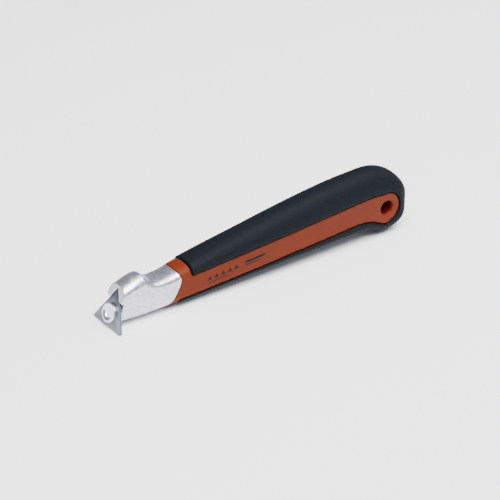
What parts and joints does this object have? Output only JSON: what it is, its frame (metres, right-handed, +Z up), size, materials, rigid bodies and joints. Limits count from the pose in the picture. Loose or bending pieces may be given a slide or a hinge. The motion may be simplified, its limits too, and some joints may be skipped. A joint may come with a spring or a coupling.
{
  "type": "triangular hand scraper",
  "caption": "Hand scraper: a triangular carbide blade screwed to a die-cast head with a thumb saddle, on a two-material handle with a hanging hole.",
  "frame": {"origin": "bottom centre of the box, on the surface that the blade's rear lower edge and the pommel stand on", "axes": "+X along the tool from nose to butt, +Y across it, +Z up; the tool is a mirror image of itself across the XZ plane"},
  "size_m": [0.1991, 0.0244, 0.0408],
  "materials": {
    "cast_aluminium": "die cast, lightly tumbled",
    "carbide": "ground tungsten carbide",
    "zinc_steel": "bright zinc plated steel",
    "orange_plastic": "moulded polypropylene, fine spark texture",
    "black_rubber": "moulded soft elastomer, matt grained"
  },
  "bodies": {
    "handle": {"head_casting": "cast_aluminium", "handle_core": "orange_plastic", "rubber_grip": "black_rubber"},
    "blade": {"scraper_blade": "carbide"},
    "screw": {"clamp_screw": "zinc_steel"}
  },
  "joints": [
    {"name": "blade_lift", "type": "slide", "parent": "handle", "child": "blade", "axis": [-0.9332, 0, 0.3594], "range_m": [0, 0.004]},
    {"name": "screw_turn", "type": "hinge", "parent": "blade", "child": "screw", "pos_m": [-0.09614, 0, 0.0072], "axis": [-0.9332, 0, 0.3594], "range_deg": [0, 1800]}
  ],
  "couplings": [
    {"joint": "screw_turn", "follows": "blade_lift", "rad_per_m": 7853.9}
  ]
}
